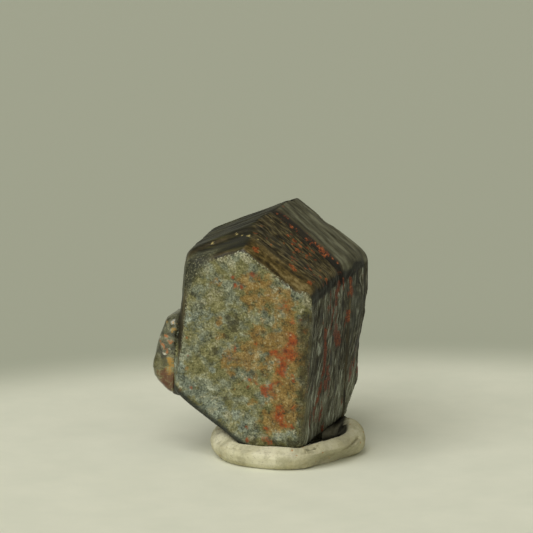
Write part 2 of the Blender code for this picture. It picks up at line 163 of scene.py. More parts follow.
# Specks of rust on the sides, and small pale yellowish specks of painted glint, as (p, q, t, radius).
SIDE_RUST = [
    (1.3, 8.9, 1.0, 0.3), (3.6, 8.4, 7.7, 0.22), (4.9, 7.6, 7.6, 0.3), (5.4, 7.3, 7.5, 0.32),
    (5.9, 6.9, 7.45, 0.24), (0.7, 10.5, 9.2, 0.16), (2.4, 8.8, 6.1, 0.18), (3.0, 8.4, 6.0, 0.24),
    (3.7, 7.8, 3.3, 0.24), (5.0, 7.1, 5.6, 0.22), (4.4, 7.1, 2.0, 0.28), (5.2, 6.8, 3.5, 0.26),
    (6.5, 5.9, 4.3, 0.22), (5.8, 6.2, 1.8, 0.32), (5.7, 6.4, 3.2, 0.22), (4.2, 7.5, 5.2, 0.2),
    (2.9, 8.1, 3.9, 0.2), (3.4, 7.9, 4.4, 0.24), (4.0, 7.3, 2.2, 0.2), (1.9, 8.9, 3.6, 0.16),
]
GOLD_SPECKS = [
    (0.1, 9.65, 2.3, 0.22), (0.4, 9.7, 2.0, 0.14), (1.0, 9.45, 2.3, 0.12), (-3.2, 7.45, 0.15, 0.12),
    (-4.1, 7.4, 0.3, 0.12), (-3.2, 8.8, 2.2, 0.2), (-1.2, 9.45, 2.95, 0.2), (-0.6, 9.6, 2.6, 0.14),
]

# The edge between the upper right and the right face: its rounding, and the dark band just below it,
# as (start, end, half width).
ROUND_EDGES = [
    ((6.3, 5.2, 1.2), (6.5, 5.8, 4.1), 0.8), ((6.5, 5.8, 4.1), (6.9, 5.8, 7.8), 0.8),
    ((6.9, 5.8, 7.8), (7.1, 6.2, 13.0), 0.9),
]
DARK_EDGES = [
    ((6.3, 4.8, 0.9), (6.5, 5.15, 4.1), 0.5), ((6.5, 5.15, 4.1), (6.9, 5.15, 7.8), 0.45),
    ((6.9, 5.15, 7.8), (7.1, 5.55, 10.9), 0.42),
]

# What is left of the side crystal's root at the lower left corner, which is rounded off,
# as (p, q, t, radius, strength).
SIDE_ROOT = [(-6.2, -3.7, 0.9, 0.9, 1.0), (-6.0, -4.1, 1.6, 0.8, 1.0)]

# How high up the right face's own looks reach, by depth.
RIGHT_TOP_DEPTHS = (0.9, 4.1, 7.8, 13.0)
RIGHT_TOPS = (4.7, 5.2, 5.25, 5.6)

# Smooth grey patches of the right face, as (p, q, t, radius, strength).
SMOOTH_PATCHES = [(7.1, 4.1, 8.9, 0.8, 0.9), (7.0, 2.4, 10.0, 1.0, 0.9), (6.8, 0.7, 9.6, 0.8, 0.8)]

# Hollows and bulges, as (p, q, t, radius, depth or height).
DENTS = [
    (3.3, 8.5, 12.6, 0.7, 0.2), (-0.6, 2.2, 0.0, 0.8, 0.07), (5.35, -5.5, 0.0, 0.35, 0.08),
    (-6.0, 4.0, 1.0, 0.6, 0.1), (6.3, 5.2, 0.3, 0.35, 0.08), (-3.0, 9.2, 1.8, 0.5, 0.1),
    (1.2, 9.2, 2.2, 0.3, 0.08), (-2.0, -7.4, 0.6, 0.5, 0.08), (6.4, 0.0, 6.9, 0.5, 0.12),
]
BULGES = [(6.9, 3.2, 11.4, 1.9, 0.22), (6.8, 0.4, 11.4, 1.9, 0.26), (4.6, -8.0, 1.6, 1.2, 0.2)]

# The directions across the crystal in which its lower left edge and the end face's upper left corner lie,
# and how far that edge stands out over the CAD's at the end face.
LOWER_LEFT = np.array((-0.5635, -0.826, 0.0))
UPPER_LEFT_CORNER = np.array((-0.817, 0.577, 0.0))
LOWER_LEFT_RISE = 0.27

# Colour patches of the side crystal, as (p, q, t, radius, strength). The brightest, palest spots are painted
# glints, and the orange patches and the yellowish ones high up are painted reflections of the main crystal's
# coloured inside.
SIDE_PATCHES = {
    "gold": [
        (-6.3, 1.6, 1.0, 0.22, 1.0), (-6.35, 1.1, 0.9, 0.22, 1.0), (-6.85, -1.6, 0.85, 0.28, 0.9),
        (-6.8, -2.1, 0.85, 0.34, 1.0), (-6.9, -2.6, 0.85, 0.34, 1.0), (-7.0, 1.6, 1.2, 0.3, 0.3),
    ],
    "orange": [
        (-6.9, 0.5, 0.9, 0.22, 0.9), (-6.7, 0.1, 0.85, 0.25, 0.9), (-7.2, -0.4, 0.9, 0.26, 1.0),
        (-7.05, -0.9, 0.85, 0.26, 1.0), (-6.45, 0.3, 0.85, 0.16, 0.6), (-7.4, -0.1, 1.0, 0.3, 0.5),
    ],
    "dark": [
        (-7.85, -0.95, 0.95, 0.3, 0.9), (-6.5, -0.5, 0.85, 0.3, 1.0), (-6.5, -1.0, 0.85, 0.28, 1.0),
        (-6.15, 0.6, 0.85, 0.3, 0.9), (-6.2, 1.6, 1.0, 0.18, 0.5), (-7.4, -1.3, 0.85, 0.3, 0.8),
        (-6.3, -2.8, 0.85, 0.3, 0.6),
    ],
    "red": [
        (-7.2, -3.3, 0.9, 0.9, 1.0), (-7.0, -3.9, 0.9, 0.8, 1.0), (-6.7, -3.4, 0.85, 0.6, 1.0),
        (-7.6, -2.9, 0.95, 0.4, 0.7),
    ],
    "white": [(-7.6, 0.25, 1.15, 0.14, 1.0), (-7.3, -1.1, 0.9, 0.16, 0.8), (-6.75, -0.6, 0.85, 0.12, 0.8)],
}

# How close the putty lies to the crystal, and from how far off it is drawn in, fully and at all.
CONTACT_GAP = 0.02
CONTACT_REACH = 0.34
CONTACT_FADE = 0.95

# Putty sunk this deep in the crystal is left there, as it isn't seen.
SUNK_GAP = (-0.5, -0.25)

# The putty is set in by this much all over, except for its flat foot, which reaches up to the same height.
PUTTY_INSET = 0.02

# Between these distances from the crystal the putty behind it is less and less shaded.
SHADED_GAP = (0.1, 1.1)

# How near the crystal the putty is smoothed after it, and in how many rounds.
SMOOTHED_GAP = (0.5, 1.1)
DRAWN_ROUNDS = 36

# Hollows in the putty, as (x, y, z, radius, depth).
PUTTY_DENTS = [
    (3.6, -8.6, 1.4, 0.7, 0.12), (6.1, -7.0, 2.0, 0.6, 0.15), (-1.7, -6.6, 2.0, 0.6, 0.1),
    (7.8, -4.9, 1.9, 0.5, 0.1), (0.5, -8.3, 0.9, 0.8, 0.08),
]

# The crease between the roll's two ends, as points round the ring: (angle in degrees, height, radius).
CREASE = [(-60.0, 0.25, 5.7), (-50.0, 0.65, 6.0), (-40.0, 1.0, 6.3), (-29.0, 1.4, 6.6), (-16.0, 1.75, 6.7)]
CREASE_WIDTH = 0.16
CREASE_DEPTH = 0.3

# How much lower the roll lies in front of the end face and, as a share of its height, along its inner rim
# between these angles.
FRONT_DROP = 0.62
INNER_DROP = 0.5
INNER_ANGLES = (-88.0, 30.0)

# Between these angles round the ring the crystal is clear of the putty, and a shaded gap is seen.
OPEN_ANGLES = (-66.0, 25.0)

# Between these angles the foot of the roll is tucked in, by this much.
TUCK_ANGLES = (-66.0, -20.0)
TUCK_IN = 0.9

# Where round the ring the putty gets painted shade, on its side away from the key light, and where half as
# much.
SOILED_ANGLES = (-80.0, -20.0)
HALF_SOILED_ANGLES = (-20.0, 40.0)

# The tip of the roll's rim at the right. It is rounded within these distances, so that it isn't a thin horn.
HORN = np.array((8.05, 1.1, 2.3))
HORN_FADE = (0.8, 1.4)

RING_CENTRE = np.array((2.307, -1.917, 0.0))

# The camera looks along +Y and down on the specimen, from far away, with this width in view. Its aim is
# given from the ring's centre, to the right and up in the picture.
CAMERA_DROP = math.radians(13.3)
CAMERA_DISTANCE = 450.0
VIEW_WIDTH = 46.35
SENSOR_WIDTH = 36.0
AIM_RIGHT = -1.783
AIM_UP = 16.04
CLIP_RANGE = (0.01, 20.0)

# The floor is pale round this point, and turns grey between these distances from it. Beyond them its colour
# goes from near to far over a depth.
FLOOR_CENTRE = (11.0, -40.0)
FLOOR_FADE = (63.0, 78.0)
FLOOR_DEPTH = 200.0
FLOOR_RINGS = (20, 40, 56, *range(60, 80, 2), 80, 90, 110, 140, 180, 230, 280, 400, 900, 3000)
FLOOR_STEPS = 96
BACKDROP_NEAR = (170, 173, 154)
BACKDROP_FAR = (177, 180, 161)

# The two lights, as (azimuth, elevation), size and energy. They are this many metres off, and look at a
# point this many mm above the floor.
KEY_LIGHT = ((-40, 50), 3.2, 92.0)
FILL_LIGHT = ((38, 24), 3.0, 14.0)
LIGHT_DISTANCE = 3.0
LIGHT_AIM = 10.0

# The world's light, from the horizon to overhead.
WORLD_LOW = (0.36, 0.36, 0.28)
WORLD_HIGH = (0.2, 0.195, 0.155)


def value_lattice(cells, seed):
    """A repeatable number from 0 to 1 for each whole-numbered cell."""
    x, y, z = (cells[:, axis].astype(np.int64).astype(np.uint32) for axis in range(3))
    mixed = x * np.uint32(374761393) + y * np.uint32(668265263) + z * np.uint32(2246822519)
    mixed = mixed + np.uint32(seed * 40503 + 17)
    mixed = (mixed ^ (mixed >> np.uint32(13))) * np.uint32(1274126177)
    mixed = (mixed ^ (mixed >> np.uint32(15))) * np.uint32(2654435761)
    return (mixed >> np.uint32(8)).astype(float) / float(1 << 24)


def noise(points, size, seed):
    """Smooth noise from -1 to 1, with blobs about as wide as size, which is a number or one per axis."""
    scaled = points / np.asarray(size, float)
    cell = np.floor(scaled)
    share = scaled - cell
    share = share * share * share * (share * (share * 6 - 15) + 10)
    total = np.zeros(len(points))
    for corner in itertools.product((0, 1), repeat=3):
        weight = np.ones(len(points))
        for axis in range(3):
            weight *= share[:, axis] if corner[axis] else 1 - share[:, axis]
        total += weight * value_lattice(cell + corner, seed)
    return total * 2 - 1


# How each layer of noise is turned and moved against the one before it.
TURN = np.array(((0.36, 0.48, -0.8), (-0.8, 0.6, 0.0), (0.48, 0.64, 0.6)))
SHIFT = 7.3


def layered(points, size, layers, seed):
    """Noise in layers, each half as large and half as strong as the one before it, and turned."""
    total, strength, place = 0.0, 1.0, points
    for layer in range(layers):
        total = total + strength * noise(place, np.asarray(size) / 2 ** layer, seed + layer)
        strength /= 2
        place = place @ TURN.T + SHIFT
    return total / (2 - 2 * strength)


def smooth(value, low, high):
    """0 up to one value and 1 from another one on, with a soft rise between them."""
    share = np.clip((value - low) / (high - low), 0, 1)
    return share * share * (3 - 2 * share)


def fade(value, low, high):
    """1 up to one value and 0 from another one on."""
    return 1 - smooth(value, low, high)


def band(value, low, high, soft):
    """1 between two values and 0 beyond them, with soft ends."""
    return smooth(value, low - soft, low + soft) * fade(value, high - soft, high + soft)


def crystal_axes():
    """The directions of p, q and t, as rows."""
    across = np.array((math.cos(AXIS_AZIMUTH), -math.sin(AXIS_AZIMUTH), 0.0))
    along = np.array((
        math.sin(AXIS_AZIMUTH) * math.cos(AXIS_RISE),
        math.cos(AXIS_AZIMUTH) * math.cos(AXIS_RISE),
        math.sin(AXIS_RISE),
    ))
    return np.array((across, np.cross(across, along), along))


AXES = crystal_axes()


def to_crystal(points):
    return (points - FRONT_CENTRE) @ AXES.T


def from_crystal(points):
    return np.asarray(points) @ AXES + FRONT_CENTRE


def read_vertices(mesh, field="co"):
    values = np.zeros(len(mesh.vertices) * 3, np.float32)
    mesh.vertices.foreach_get(field, values)
    return values.reshape(-1, 3).astype(float)


def write_vertices(mesh, points):
    mesh.vertices.foreach_set("co", points.astype(np.float32).ravel())
    mesh.update()


def store(mesh, **fields):
    """Keep numbers, or rows of three, on a mesh's vertices under names that materials read."""
    for name, values in fields.items():
        values = np.asarray(values, np.float32)
        if values.ndim == 1:
            mesh.attributes.new(name, "FLOAT", "POINT").data.foreach_set("value", values)
        else:
            mesh.attributes.new(name, "FLOAT_VECTOR", "POINT").data.foreach_set("vector", values.ravel())


def add_object(name, data):
    thing = bpy.data.objects.new(name, data)
    bpy.context.scene.collection.objects.link(thing)
    return thing


def node_mesh(node):
    """A CAD node's mesh as a copy in millimetres, its split corners joined again."""
    mesh = bmesh.new()
    mesh.from_mesh(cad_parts[node].data)
    bmesh.ops.remove_doubles(mesh, verts=mesh.verts, dist=1e-7)
    mesh.transform(Matrix.Scale(1 / MM, 4))
    return mesh


def cut(mesh, point, facing):
    """Cut away what lies beyond a plane and close the hole."""
    everything = mesh.verts[:] + mesh.edges[:] + mesh.faces[:]
    found = bmesh.ops.bisect_plane(
        mesh, geom=everything, plane_co=Vector(point), plane_no=Vector(facing), clear_outer=True
    )
    rim = [item for item in found["geom_cut"] if isinstance(item, bmesh.types.BMEdge)]
    bmesh.ops.triangle_fill(mesh, edges=rim, use_beauty=True)


def fine_net(mesh, name, voxel):
    """A new object whose mesh is an even fine net over the given one."""
    bmesh.ops.recalc_face_normals(mesh, faces=mesh.faces)
    rough = bpy.data.meshes.new(name + "_rough")
    mesh.to_mesh(rough)
    mesh.free()
    holder = add_object(name + "_rough", rough)
    modifier = holder.modifiers.new("net", "REMESH")
    modifier.mode = "VOXEL"
    modifier.voxel_size = voxel
    evaluated = holder.evaluated_get(bpy.context.evaluated_depsgraph_get())
    fine = bpy.data.meshes.new_from_object(evaluated)
    fine.name = name
    bpy.data.objects.remove(holder, do_unlink=True)
    fine.shade_smooth()
    return add_object(name, fine)


def warped(place, wide, fine, seed):
    """Places moved about by noise, so that marks read there get uneven borders."""
    moved = place.copy()
    for axis in range(3):
        moved[:, axis] += wide * noise(place, 1.4, seed + axis) + fine * noise(place, 0.45, seed + 3 + axis)
    return moved


def spots(place, marks):
    """How strongly each place is marked, from 0 to 1, by spots that add up where they overlap."""
    bare = np.ones(len(place))
    for *spot, radius, strength in marks:
        away = ((place[:, :len(spot)] - spot) ** 2).sum(axis=1)
        bare *= 1 - strength * np.exp(-away / radius ** 2)
    return 1 - bare


def streaks(place, marks):
    """The same for streaks, each given by its two ends and its half width."""
    bare = np.ones(len(place))
    for start, end, width in marks:
        start, way = np.array(start), np.array(end) - start
        share = np.clip((place - start) @ way / (way @ way), 0, 1)
        away = ((place - start - share[:, None] * way) ** 2).sum(axis=1)
        bare *= 1 - np.exp(-away / width ** 2)
    return 1 - bare


def dent_depth(place, marks):
    """How deep each place lies under soft round hollows."""
    total = np.zeros(len(place))
    for x, y, z, radius, depth in marks:
        total += depth * np.exp(-((place - (x, y, z)) ** 2).sum(axis=1) / radius ** 2)
    return total


def keep_inside(points, node):
    """Hold points inside a node's own box."""
    low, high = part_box(node)
    return np.clip(points, np.array(low) / MM, np.array(high) / MM)


def split_plane():
    """A point and the outward direction of the plane between the left face and the side crystal."""
    angle = math.radians(LEFT)
    outward = np.array((math.cos(angle), math.sin(angle), -SPLIT_LEAN))
    outward /= np.linalg.norm(outward)
    point = np.array((math.cos(angle), math.sin(angle), 0.0)) * SPLIT_DISTANCE
    return from_crystal(point), outward @ AXES


def crystal_place(mesh):
    """A mesh's points and normals, and both again in the crystal's own frame."""
    points = read_vertices(mesh)
    normals = read_vertices(mesh, "normal")
    return points, normals, to_crystal(points), normals @ AXES.T


def slant_depth(place):
    """How much deeper than its own depth each place's growth line runs, going round the prism."""
    around = np.degrees(np.arctan2(place[:, 1], place[:, 0]))
    around = np.where(around < -145, around + 360, around)
    return np.interp(around, SLANT_ANGLES, SLANT_DEPTHS) * smooth(place[:, 2], 2.4, 5.2)


def growth_lines(place, right):
    """Places with t measured square to the growth lines, with the lines' own waviness."""
    lines = place.copy()
    lines[:, 2] -= slant_depth(place)
    lines[:, 2] += 0.12 * noise(place, 2.6, 3) + 0.04 * noise(place, 0.8, 4)
    lines[:, 2] += right * RIGHT_LEAN * np.maximum(0, RIGHT_LEAN_FROM - place[:, 1])
    lines[:, 2] += right * (0.3 * noise(place, (2.2, 2.2, 1.2), 8) + 0.13 * noise(place, 0.7, 9))
    return lines


def facing(local, angle):
    """How nearly a normal looks in a direction round the prism, from 0 to 1."""
    angle = math.radians(angle)
    return smooth(local[:, 0] * math.cos(angle) + local[:, 1] * math.sin(angle), *FACING)


def end_fields(place, near_end):
    """The stains, frosting and shades of the end face, each from 0 to 1."""
    loose = warped(place, 0.22, 0.14, 80)
    small = noise(place, 0.26, 94)
    fields = {}
    for number, (name, marks) in enumerate((
        ("rust", END_RUST), ("ochre", END_OCHRE), ("pale", END_PALE), ("dark", END_DARK), ("blue", END_BLUE),
    )):
        found = spots(loose, marks)
        if name == "rust":
            found = np.maximum(found, streaks(loose, END_STREAKS))
        ragged = 0.4 * layered(place, 0.7, 3, 100 + 4 * number) + 0.15 * small
        fields[name] = near_end * np.clip(found + ragged * smooth(found, 0.0, 0.25), 0, 1)
    return fields


def relaxed(mesh, points, where, rounds):
    """Rows of numbers, one per vertex, evened out with their neighbours' as strongly as told."""
    ends = np.zeros(len(mesh.edges) * 2, np.int32)
    mesh.edges.foreach_get("vertices", ends)
    first, second = ends.reshape(-1, 2).T
    count = np.bincount(ends, minlength=len(points))[:, None]
    share = ROUND_SHARE * where[:, None]
    for _ in range(rounds):
        total = np.zeros_like(points)
        for axis in range(3):
            total[:, axis] += np.bincount(first, points[second, axis], len(points))
            total[:, axis] += np.bincount(second, points[first, axis], len(points))
        points = points + share * (total / count - points)
    return points


def round_ledges(mesh):
    """Round off the ledges, the edge over the right face and the root of the side crystal."""
    points, _, place, _ = crystal_place(mesh)
    p, q, t = place.T
    rolled = band(t, 0.9, 4.2, 0.5) * smooth(q, 4.5, 6.5) * smooth(-p, -1.2, -0.2)
    rolled = np.maximum(rolled, 0.5 * band(t - slant_depth(place), 7.3, 7.9, 0.2) * smooth(q, 3.0, 4.5))
    rolled = np.maximum(rolled, 0.8 * streaks(place, ROUND_EDGES))
    rolled = np.maximum(rolled, spots(place, SIDE_ROOT))
    write_vertices(mesh, relaxed(mesh, points, rolled, LEDGE_ROUNDS))


def crystal_parts(place, local):
    """How far each place belongs to each face and band of the crystal, from 0 to 1."""
    p, q, t = place.T
    forward = smooth(-local[:, 2], *FACING)
    near_end = fade(t, *END_FADE)
    end_face = forward * near_end
    back = smooth(local[:, 2], *BACK_FADE)
    sides = np.clip(1 - end_face - back, 0, 1)
    right = facing(local, RIGHT) * sides
    upper_right = facing(local, UPPER_RIGHT) * sides
    upper_left = facing(local, UPPER_LEFT) * sides
    over = right * smooth(q - np.interp(t, RIGHT_TOP_DEPTHS, RIGHT_TOPS), -0.25, 0.1)
    right, upper_right = right - over, np.maximum(upper_right, over)
    depth = t - slant_depth(place)
    high = smooth(q, 4.2, 5.0) * smooth(p, -1.0, 0.5)
    glassy = upper_right * fade(t, *GLASSY_RIGHT_FADE)
    glassy += upper_left * fade(t, *GLASSY_LEFT_FADE)
    return SimpleNamespace(
        forward=forward, near_end=near_end, end_face=end_face, edge=4 * end_face * (1 - end_face),
        back=back, sides=sides, right=right, upper_left=upper_left, glassy=glassy,
        dashed=upper_right * band(depth, *DASHED_BAND, 0.35),
        groove=high * band(depth, *GROOVE_BAND, 0.14),
        far_strip=upper_right * smooth(depth, *STRIP_START),
    )


def crystal_relief(place, strata, part):
    """How far each place stands out over the CAD's face: growth terraces, grain, worn edges and hollows."""
    terraces = np.tanh(2.6 * noise(strata, (4.5, 4.5, 0.45), 11)) * 0.03
    terraces += np.tanh(2.2 * noise(strata, (2.2, 2.2, 0.24), 12)) * 0.018
    dulled = (1 - 0.9 * np.clip(part.glassy, 0, 1)) * (1 - 0.6 * part.far_strip)
    relief = part.sides * terraces * dulled * (1 + 0.9 * part.right)
    relief -= 0.06 * part.dashed * smooth(noise(strata, (0.8, 0.8, 0.26), 30), 0.1, 0.5)
    relief -= 0.035 * part.right * smooth(noise(strata, (1.0, 1.0, 0.3), 33), 0.1, 0.6)
    relief += part.end_face * (0.02 * layered(place, 0.42, 3, 20) + 0.03 * np.tanh(3 * noise(place, 1.7, 22)))
    relief += 0.12 * part.back * layered(place, 1.9, 4, 24) + 0.02 * layered(place, 2.8, 2, 26)
    relief -= 0.07 * part.edge * smooth(layered(place, 0.5, 3, 28), 0.0, 0.5) + 0.05 * part.groove
    return relief + dent_depth(place, BULGES) - dent_depth(place, DENTS)


def rust_specks(loose, place, strata, part):
    """The rust on the sides: specks and streaks at their places, and more strewn along the growth lines."""
    found = np.maximum(spots(loose, [(*speck, 1.0) for speck in SIDE_RUST]), streaks(loose, RUST_STREAKS))
    placed = smooth(found + 0.25 * noise(place, 0.25, 46) * (found > 0.1), 0.3, 0.7) * part.sides
    strewn = smooth(noise(strata, (0.5, 0.5, 0.26), 44) + 0.3 * noise(place, 1.8, 45), 0.5, 0.75)
    drawn = smooth(noise(strata, (1.1, 1.1, 0.3), 47) + 0.35 * noise(place, 2.2, 48), 0.45, 0.8)
    drawn *= smooth(place[:, 2], 1.0, 2.2)
    return np.maximum(placed, 0.7 * part.dashed * strewn + 0.8 * part.right * drawn)


def keep_crystal_fields(mesh, points, normals, place, strata, part):
    """Store what the sapphire's material reads."""
    p, q, t = place.T
    turned = smooth(p, 5.1, 5.5) * fade(q, 5.3, 5.9) * fade(t, 0.45, 0.95)
    turned = np.maximum(turned, smooth(-p, 5.5, 6.2) * smooth(-q, -1.0, 1.0) * fade(t, 0.7, 1.1))
    loose = warped(place, 0.12, 0.1, 120)
    border = smooth(p, 4.9, 5.75) * fade(q, 3.2, 4.2) * fade(t, 0.6, 1.6)
    corner = smooth(place @ UPPER_LEFT_CORNER, 6.45, 7.0) * smooth(q, 4.0, 4.8) * fade(t, 0.8, 1.6)
    corner *= smooth(corner + 0.5 * layered(place, 0.6, 2, 52), 0.25, 0.8)
    # Painted shade: sides that look down, low near the putty, are marked to be painted near black, as they
    # lie in shadow.
    under = smooth(-normals[:, 2], 0.35, 0.75) * fade(points[:, 2], 3.5, 6.0) * smooth(p, 1.5, 3.0)
    glassy = np.clip(part.glassy + 0.25 * part.glassy * layered(place, 0.8, 3, 54), 0, 1)
    spread = np.column_stack((np.maximum(part.end_face, turned), glassy, corner))
    end_face, glassy, corner = relaxed(mesh, spread, np.ones(len(place)), MASK_ROUNDS).T
    left = 0.8 * facing(normals @ AXES.T, LEFT) * part.sides
    store(
        mesh, place=place, strata=strata, end_face=end_face, glassy=glassy, corner=corner,
        right_face=part.right, upper_left=np.maximum(part.upper_left, left), back_end=part.back,
        dashed=part.dashed, far_strip=part.far_strip, groove=part.groove,
        border=border * (0.8 + 0.3 * layered(place, 0.5, 2, 50)), low_part=smooth(-q, 2.5, 6.0),
        low_edge=smooth(place @ LOWER_LEFT, 6.1, 6.45) * fade(t, 0.8, 1.3) * smooth(-q, 0.5, 2.0),
        dark_edge=np.maximum(smooth(streaks(loose, DARK_EDGES), 0.08, 0.6), under * (1 - part.near_end)),
        smooth_patch=spots(loose, SMOOTH_PATCHES) * part.sides,
        specks=rust_specks(loose, place, strata, part),
        gold=spots(place, [(*speck, 1.0) for speck in GOLD_SPECKS]),
        **end_fields(place, part.near_end * np.clip(part.forward + part.edge + turned, 0, 1)),
    )


def build_crystal():
    mesh = node_mesh("sapphire_crystal")
    point, outward = split_plane()
    cut(mesh, point, outward)
    piece = fine_net(mesh, "crystal", CRYSTAL_NET)
    mesh = piece.data
    round_ledges(mesh)
    points, normals, place, local = crystal_place(mesh)
    part = crystal_parts(place, local)
    strata = growth_lines(place, part.right)
    lower_left = smooth(place @ LOWER_LEFT, 5.3, 6.3) * smooth(-place[:, 1], 2.8, 5.2)
    lifted = LOWER_LEFT_RISE * lower_left * fade(place[:, 2], 1.6, 3.4)
    relief = crystal_relief(place, strata, part)
    moved = points + normals * relief[:, None] + lifted[:, None] * (LOWER_LEFT @ AXES)
    write_vertices(mesh, keep_inside(moved, "sapphire_crystal"))
    keep_crystal_fields(mesh, points, normals, place, strata, part)
    mesh.transform(Matrix.Scale(MM, 4))
    return piece


def build_side_crystal():
    mesh = node_mesh("sapphire_crystal")
    point, outward = split_plane()
    cut(mesh, point, -outward)
    piece = fine_net(mesh, "side_crystal", SIDE_NET)
    mesh = piece.data
    points, normals, place, _ = crystal_place(mesh)
    sunk = smooth((points - point) @ outward, 0.15, 0.0)
    relief = 0.03 * layered(place, 0.9, 3, 40) + SIDE_RISE * smooth(place[:, 1], -2.0, 0.5)
    relief += 0.015 * np.tanh(3 * noise(place, (1.5, 1.5, 0.3), 42))
    moved = points + normals * (relief * (1 - sunk))[:, None] - outward * (SIDE_SINK * sunk)[:, None]
    write_vertices(mesh, keep_inside(moved, "sapphire_crystal"))
    loose = warped(place, 0.1, 0.08, 130)
    uneven = 0.5 * layered(place, 0.3, 2, 140)
    patches = {name: np.clip(spots(loose, marks) + uneven * smooth(spots(place, marks), 0.0, 0.3), 0, 1)
               for name, marks in SIDE_PATCHES.items()}
    store(mesh, place=place, lower=smooth(-place[:, 1], 0.9, 1.7), **patches)
    mesh.transform(Matrix.Scale(MM, 4))
    return piece


def crease_line():
    """The crease in the putty, as streaks between its points."""
    points = []
    for angle, height, radius in CREASE:
        turn = math.radians(angle)
        points.append(RING_CENTRE + np.array((math.cos(turn), math.sin(turn), 0.0)) * radius + (0, 0, height))
    return [(start, end, CREASE_WIDTH) for start, end in zip(points, points[1:])]


def surface_tree(piece):
    """A piece's surface in millimetres, in which the nearest place to a point can be found."""
    mesh = piece.data
    mesh.calc_loop_triangles()
    corners = np.zeros(len(mesh.loop_triangles) * 3, np.int32)
    mesh.loop_triangles.foreach_get("vertices", corners)
    return BVHTree.FromPolygons((read_vertices(mesh) / MM).tolist(), corners.reshape(-1, 3).tolist())


def build_putty(crystal):
    mesh = node_mesh("putty_ring")
    piece = fine_net(mesh, "putty", PUTTY_NET)
    mesh = piece.data
    points = read_vertices(mesh)
    normals = read_vertices(mesh, "normal")
    tree = surface_tree(crystal)
    height = points[:, 2].copy()
    across = points - RING_CENTRE
    radius = np.hypot(across[:, 0], across[:, 1])
    angle = np.degrees(np.arctan2(across[:, 1], across[:, 0]))
    tucked = band(angle, *TUCK_ANGLES, 12.0) * smooth(radius, 5.0, 6.4) * fade(height, 0.4, 1.6)
    points[:, :2] -= (TUCK_IN * tucked / radius)[:, None] * across[:, :2]
    inner = fade(radius, 4.5, 5.5) * band(angle, *INNER_ANGLES, 12.0)
    in_front = fade(to_crystal(points)[:, 2], 0.3, 1.2) * fade(angle, -70.0, -45.0)
    points[:, 2] -= FRONT_DROP * in_front * smooth(height, 1.1, 2.4) + INNER_DROP * inner * height
    crease = streaks(warped(points, 0.1, 0.06, 74), crease_line())
    relief = 0.08 * layered(points, 2.2, 2, 70) + 0.035 * layered(points, 0.8, 3, 72)
    relief -= dent_depth(points, PUTTY_DENTS) + CREASE_DEPTH * crease
    relief *= smooth(height, 0.05, 0.5)
    moved = points + normals * (relief - PUTTY_INSET)[:, None]
    moved[:, 2] = np.where(height < PUTTY_INSET, height, moved[:, 2])
    shaded = fade(radius, 4.9, 5.5) * band(angle, *OPEN_ANGLES, 10.0)
    worked = np.zeros(len(points))
    behind = smooth(to_crystal(points)[:, 2], 0.2, 1.2)
    closed = 1 - band(angle, *OPEN_ANGLES, 8.0)
    for index, point in enumerate(moved):
        nearest, facing_out, _, distance = tree.find_nearest(Vector(point), SHADED_GAP[1])
        if nearest is None:
            continue
        inside = (Vector(point) - nearest).dot(facing_out) < 0
        gap = -distance if inside else distance
        pull = float(smooth(CONTACT_FADE - gap, 0.0, CONTACT_FADE - CONTACT_REACH)) * closed[index]
        pull *= float(smooth(gap, *SUNK_GAP))
        moved[index] = np.array(nearest) + np.array(facing_out) * (gap + (CONTACT_GAP - gap) * pull)
        worked[index] = float(fade(abs(gap), *SMOOTHED_GAP))
        shaded[index] = max(shaded[index], float(fade(gap, *SHADED_GAP)) * behind[index])
    at_horn = fade(np.linalg.norm(moved - HORN, axis=1), *HORN_FADE)
    moved = relaxed(mesh, moved, smooth(height, 0.3, 0.9) * np.maximum(worked, at_horn), DRAWN_ROUNDS)
    write_vertices(mesh, keep_inside(moved, "putty_ring"))
    # Painted shade: the ring's front right and right side are marked to be painted darker, as they face away
    # from the key light.
    soiled = band(angle, *SOILED_ANGLES, 14.0) + 0.5 * band(angle, *HALF_SOILED_ANGLES, 14.0)
    store(mesh, place=points, crease=crease, soiled=soiled, shaded=shaded)
    mesh.transform(Matrix.Scale(MM, 4))
    return piece


def srgb(red, green, blue):
    """A colour given from 0 to 255 as a screen shows it, as the linear colour that shaders take."""
    shares = [value / 255 for value in (red, green, blue)]
    return tuple(s / 12.92 if s <= 0.04045 else ((s + 0.055) / 1.055) ** 2.4 for s in shares)


